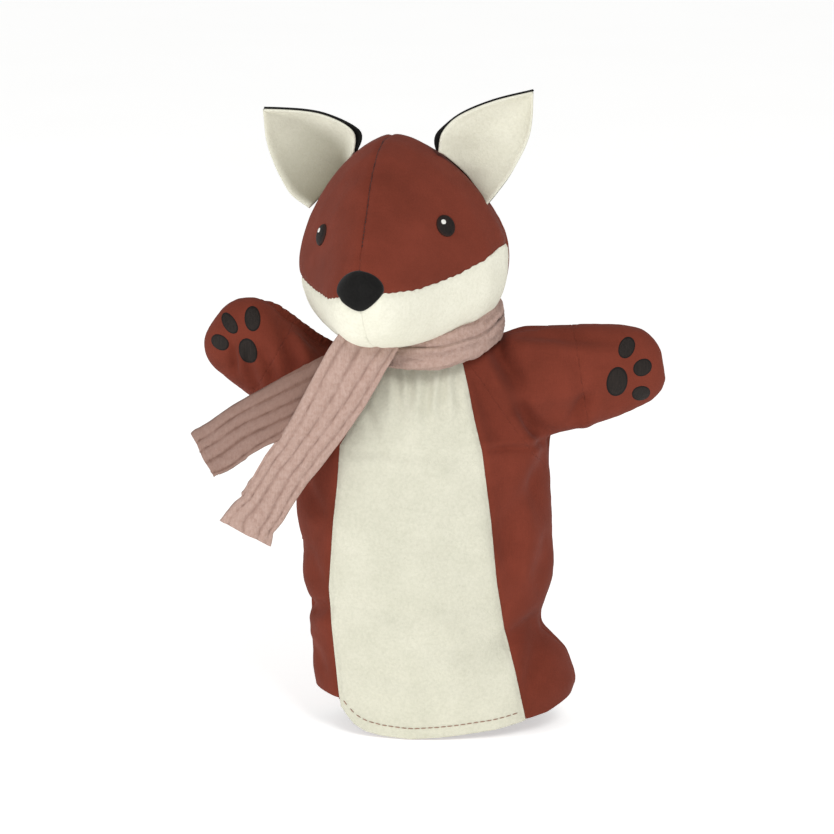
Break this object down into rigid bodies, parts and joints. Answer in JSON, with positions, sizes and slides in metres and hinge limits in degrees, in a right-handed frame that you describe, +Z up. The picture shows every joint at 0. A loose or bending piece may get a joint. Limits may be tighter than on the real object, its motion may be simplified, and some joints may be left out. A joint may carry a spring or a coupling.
{
  "type": "hand puppet",
  "caption": "Fox hand puppet: a sewn glove with a stuffed turning head, folding paws, springy ears and a knotted scarf with hanging tails.",
  "frame": {"origin": "centre of the hem opening, level with the lowest point of the front and back hem", "axes": "+Z up through the neck and head, -Y the way the belly faces, +X the side of the lower arm as seen from the front"},
  "size_m": [0.2092, 0.0986, 0.2849],
  "materials": {
    "rust_cotton": "matte",
    "cream_canvas": "matte",
    "black_felt": "matte",
    "pink_muslin": "matte",
    "dark_thread": "satin",
    "white_thread": "satin",
    "brown_thread": "satin",
    "white_cord": "matte",
    "fibre_filling": "matte",
    "grey_card": "matte"
  },
  "bodies": {
    "glove": {"belly_panel": "cream_canvas", "left_side_panel": "rust_cotton", "right_side_panel": "rust_cotton", "back_panel": "rust_cotton", "left_yoke": "rust_cotton", "right_yoke": "rust_cotton", "neck_ring": "rust_cotton", "hem_facing": "rust_cotton", "hem_stitching": "brown_thread", "scarf_loop": "pink_muslin", "scarf_knot": "pink_muslin", "knot_thread": "brown_thread"},
    "neck": {"neck_casing": "rust_cotton", "neck_cord": "white_cord"},
    "head": {"head_face_left": "rust_cotton", "head_face_right": "rust_cotton", "muzzle_left": "cream_canvas", "muzzle_right": "cream_canvas", "head_back": "rust_cotton", "head_base": "rust_cotton", "head_stuffing": "fibre_filling", "head_neck": "rust_cotton", "finger_tube": "grey_card", "nose": "black_felt", "left_eye": "dark_thread", "left_eye_glint": "white_thread", "right_eye": "dark_thread", "right_eye_glint": "white_thread"},
    "front_tail": {"scarf_front_tail": "pink_muslin"},
    "rear_tail": {"scarf_rear_tail": "pink_muslin"},
    "left_ear": {"left_ear_front": "cream_canvas", "left_ear_back": "black_felt"},
    "left_arm": {"left_sleeve": "rust_cotton"},
    "left_paw": {"left_paw_front": "rust_cotton", "left_paw_back": "rust_cotton", "left_palm_pad": "dark_thread", "left_toe_pad_1": "dark_thread", "left_toe_pad_2": "dark_thread", "left_toe_pad_3": "dark_thread"},
    "right_ear": {"right_ear_front": "cream_canvas", "right_ear_back": "black_felt"},
    "right_arm": {"right_sleeve": "rust_cotton"},
    "right_paw": {"right_paw_front": "rust_cotton", "right_paw_back": "rust_cotton", "right_palm_pad": "dark_thread", "right_toe_pad_1": "dark_thread", "right_toe_pad_2": "dark_thread", "right_toe_pad_3": "dark_thread"}
  },
  "joints": [
    {"name": "neck_nod", "type": "hinge", "parent": "glove", "child": "neck", "pos_m": [-0.003, 0, 0.164], "axis": [1, 0, 0], "range_deg": [-18, 12]},
    {"name": "head_turn", "type": "hinge", "parent": "neck", "child": "head", "pos_m": [-0.003, 0, 0.164], "axis": [0, 0, 1], "range_deg": [-15, 40]},
    {"name": "left_shoulder", "type": "hinge", "parent": "glove", "child": "left_arm", "pos_m": [-0.05, 0, 0.151], "axis": [0, 1, 0], "range_deg": [-40, 18]},
    {"name": "right_shoulder", "type": "hinge", "parent": "glove", "child": "right_arm", "pos_m": [0.044, 0, 0.151], "axis": [0, -1, 0], "range_deg": [-18, 38]},
    {"name": "left_paw_fold", "type": "hinge", "parent": "left_arm", "child": "left_paw", "pos_m": [-0.077, -0.012, 0.16722], "axis": [0.515, 0, 0.8572], "range_deg": [0, 45]},
    {"name": "right_paw_fold", "type": "hinge", "parent": "right_arm", "child": "right_paw", "pos_m": [0.07511, -0.012, 0.15593], "axis": [0.1564, 0, -0.9877], "range_deg": [0, 45]},
    {"name": "left_ear_bend", "type": "hinge", "parent": "head", "child": "left_ear", "pos_m": [-0.04527, 0.01163, 0.23896], "axis": [-0.5413, 0.2876, -0.7901], "range_deg": [-15, 15], "stiffness_Nm_per_rad": 0.006},
    {"name": "right_ear_bend", "type": "hinge", "parent": "head", "child": "right_ear", "pos_m": [0.01534, -0.01563, 0.24748], "axis": [0.7381, -0.2876, -0.6103], "range_deg": [-15, 15], "stiffness_Nm_per_rad": 0.006},
    {"name": "front_tail_swing", "type": "hinge", "parent": "glove", "child": "front_tail", "pos_m": [-0.024, -0.0382, 0.157], "axis": [0, 1, 0], "range_deg": [-35, 8]},
    {"name": "rear_tail_swing", "type": "hinge", "parent": "glove", "child": "rear_tail", "pos_m": [-0.024, -0.0354, 0.157], "axis": [0, 1, 0], "range_deg": [-50, 6]}
  ]
}
